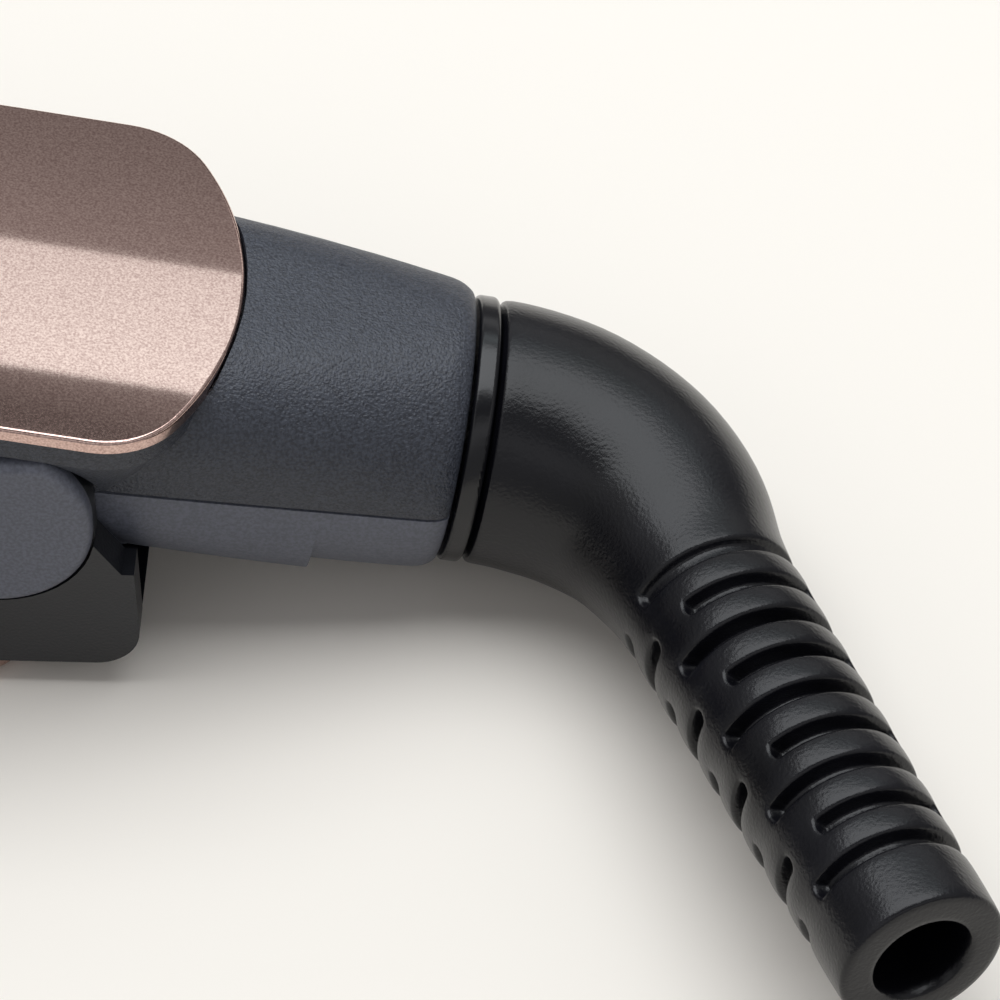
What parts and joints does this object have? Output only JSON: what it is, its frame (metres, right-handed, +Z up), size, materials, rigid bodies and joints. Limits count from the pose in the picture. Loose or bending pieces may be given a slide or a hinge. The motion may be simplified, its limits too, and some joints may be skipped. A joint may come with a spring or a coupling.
{
  "type": "hair straightener",
  "caption": "Hair straightener with two hinged arms, floating heating plates, buttons on the lower arm's inner face and a ribbed strain relief on a swivel.",
  "frame": {"origin": "on the flat land of the lower cover, straight under the hinge axis", "axes": "+X from the tips to the cord end, +Z up from the surface that it lies on, +Y to the left"},
  "size_m": [0.3066, 0.068, 0.0707],
  "materials": {
    "grey_shell": "moulded, fine grain",
    "satin_cover": "warm metallic lacquer, satin",
    "black_tip": "moulded, smooth",
    "plate_metal": "coated, glossy",
    "carrier_plastic": "heat-resistant moulding",
    "ceramic": "matt ceramic",
    "sensor_bead": "dipped bead",
    "lead_sleeve": "sleeved wire",
    "steel": "plain steel",
    "black_collar": "moulded, polished",
    "black_relief": "moulded, satin",
    "spindle_plastic": "moulded",
    "contact_brass": "plain brass",
    "board": "coated circuit board",
    "panel": "moulded, polished",
    "button": "moulded, satin",
    "lens": "clear moulding"
  },
  "bodies": {
    "lower_arm": {"lower_housing": "grey_shell", "lower_cover": "satin_cover", "lower_cool_tip": "black_tip", "lower_plate_carrier": "carrier_plastic", "lower_plate_springs": "steel", "lower_cover_screws": "steel", "lower_leads": "lead_sleeve", "hinge_cap_left": "grey_shell", "hinge_cap_right": "grey_shell", "control_panel": "panel", "control_board": "board", "switches": "spindle_plastic", "indicator_lenses": "lens"},
    "upper_arm": {"upper_housing": "grey_shell", "upper_cover": "satin_cover", "upper_cool_tip": "black_tip", "upper_plate_carrier": "carrier_plastic", "upper_plate_springs": "steel", "upper_cover_screws": "steel", "upper_leads": "lead_sleeve", "rear_strip": "grey_shell", "rear_screws": "steel", "hinge_pin": "steel", "hinge_spring": "steel", "brush_holder": "spindle_plastic", "contact_brushes": "contact_brass"},
    "upper_plate": {"upper_heating_plate": "plate_metal", "upper_heater": "ceramic", "upper_sensor": "sensor_bead"},
    "lower_plate": {"lower_heating_plate": "plate_metal", "lower_heater": "ceramic", "lower_sensor": "sensor_bead"},
    "power_button": {"power_button": "button"},
    "plus_button": {"plus_button": "button"},
    "minus_button": {"minus_button": "button"},
    "swivel": {"strain_relief": "black_relief", "swivel_collar": "black_collar", "swivel_spindle": "spindle_plastic", "spindle_clip": "steel", "slip_rings": "contact_brass"}
  },
  "joints": [
    {"name": "arm_hinge", "type": "hinge", "parent": "lower_arm", "child": "upper_arm", "pos_m": [0, 0, 0.018], "axis": [0, 1, 0], "range_deg": [-10.5, 0], "stiffness_Nm_per_rad": 1.2, "springref_deg": 14.9},
    {"name": "cord_swivel", "type": "hinge", "parent": "upper_arm", "child": "swivel", "pos_m": [0.03274, 0, 0.01193], "axis": [0.9833, 0, -0.1822], "continuous": true},
    {"name": "lower_plate_float", "type": "slide", "parent": "lower_arm", "child": "lower_plate", "axis": [0, 0, -1], "range_m": [0, 0.001], "stiffness_N_per_m": 2000, "springref_m": -0.001, "deforming": ["lower_plate_springs"]},
    {"name": "upper_plate_float", "type": "slide", "parent": "upper_arm", "child": "upper_plate", "axis": [0.1822, 0, 0.9833], "range_m": [0, 0.001], "stiffness_N_per_m": 2000, "springref_m": -0.001, "deforming": ["upper_plate_springs"]},
    {"name": "power_button_press", "type": "slide", "parent": "lower_arm", "child": "power_button", "axis": [0, 0, -1], "range_m": [0, 0.0005], "stiffness_N_per_m": 300, "springref_m": -0.001},
    {"name": "plus_button_press", "type": "slide", "parent": "lower_arm", "child": "plus_button", "axis": [0, 0, -1], "range_m": [0, 0.0005], "stiffness_N_per_m": 300, "springref_m": -0.001},
    {"name": "minus_button_press", "type": "slide", "parent": "lower_arm", "child": "minus_button", "axis": [0, 0, -1], "range_m": [0, 0.0005], "stiffness_N_per_m": 300, "springref_m": -0.001}
  ]
}
